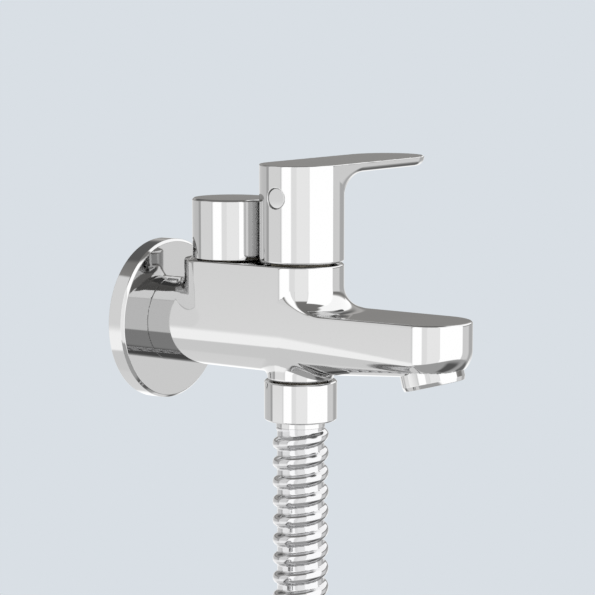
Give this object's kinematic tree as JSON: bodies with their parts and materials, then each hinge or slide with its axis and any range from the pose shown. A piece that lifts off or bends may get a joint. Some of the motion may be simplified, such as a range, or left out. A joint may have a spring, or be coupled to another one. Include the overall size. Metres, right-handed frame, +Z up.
{
  "type": "two-way bib tap",
  "caption": "Wall-mounted bib tap with a lever valve for its spout and a knob valve for a ribbed metal hose under the body.",
  "frame": {"origin": "centre of the wall flange's back face, on the inlet's axis, in the finished wall's plane", "axes": "+X out of the wall along the body and spout, +Z up, +Y to the left of someone who faces the wall from the tap's side"},
  "size_m": [0.1558, 0.3031, 0.4131],
  "materials": {
    "chrome": "polished chrome plate on brass",
    "plug_chrome": "satin chrome plated cap",
    "hose_steel": "bright ribbed metal hose",
    "brass": "machined brass",
    "steel": "stainless steel",
    "ceramic": "lapped alumina ceramic",
    "rubber": "moulded rubber",
    "insert_plastic": "moulded acetal",
    "bush_plastic": "moulded nylon",
    "tie": "black elastic tie"
  },
  "bodies": {
    "tap_body": {"body_casting": "chrome", "wall_flange": "chrome", "aerator_housing": "chrome", "aerator_insert": "insert_plastic", "aerator_washer": "rubber", "hose_nipple": "brass", "hose_nut": "chrome", "hose_tail": "chrome", "hose_washer": "rubber", "hose_run": "hose_steel", "hose_coil": "hose_steel", "hose_tie": "tie", "hose_far_tail": "chrome", "hose_far_washer": "rubber", "lever_headwork": "brass", "lever_fixed_disc": "ceramic", "lever_seat_seal": "rubber", "knob_headwork": "brass", "knob_fixed_disc": "ceramic", "knob_seat_seal": "rubber"},
    "lever": {"lever_handle": "chrome", "lever_bush": "bush_plastic", "lever_grub_screw": "steel", "lever_index_plug": "plug_chrome", "lever_spindle": "brass", "lever_turning_disc": "ceramic", "lever_spindle_ring": "rubber", "lever_circlip": "steel"},
    "knob": {"knob": "chrome", "knob_bush": "bush_plastic", "knob_grub_screw": "steel", "knob_spindle": "brass", "knob_turning_disc": "ceramic", "knob_spindle_ring": "rubber", "knob_circlip": "steel"},
    "far_nut": {"hose_far_nut": "chrome"}
  },
  "joints": [
    {"name": "lever_turn", "type": "hinge", "parent": "tap_body", "child": "lever", "pos_m": [0.0691, 0, 0.0258], "axis": [0, 0, 1], "range_deg": [-87, 3]},
    {"name": "knob_turn", "type": "hinge", "parent": "tap_body", "child": "knob", "pos_m": [0.0363, 0, 0.0258], "axis": [0, 0, 1], "range_deg": [0, 90]},
    {"name": "far_nut_spin", "type": "hinge", "parent": "tap_body", "child": "far_nut", "pos_m": [0.0429, 0.00063, -0.34111], "axis": [-0.0018, 0.2611, -0.9653], "continuous": true}
  ]
}
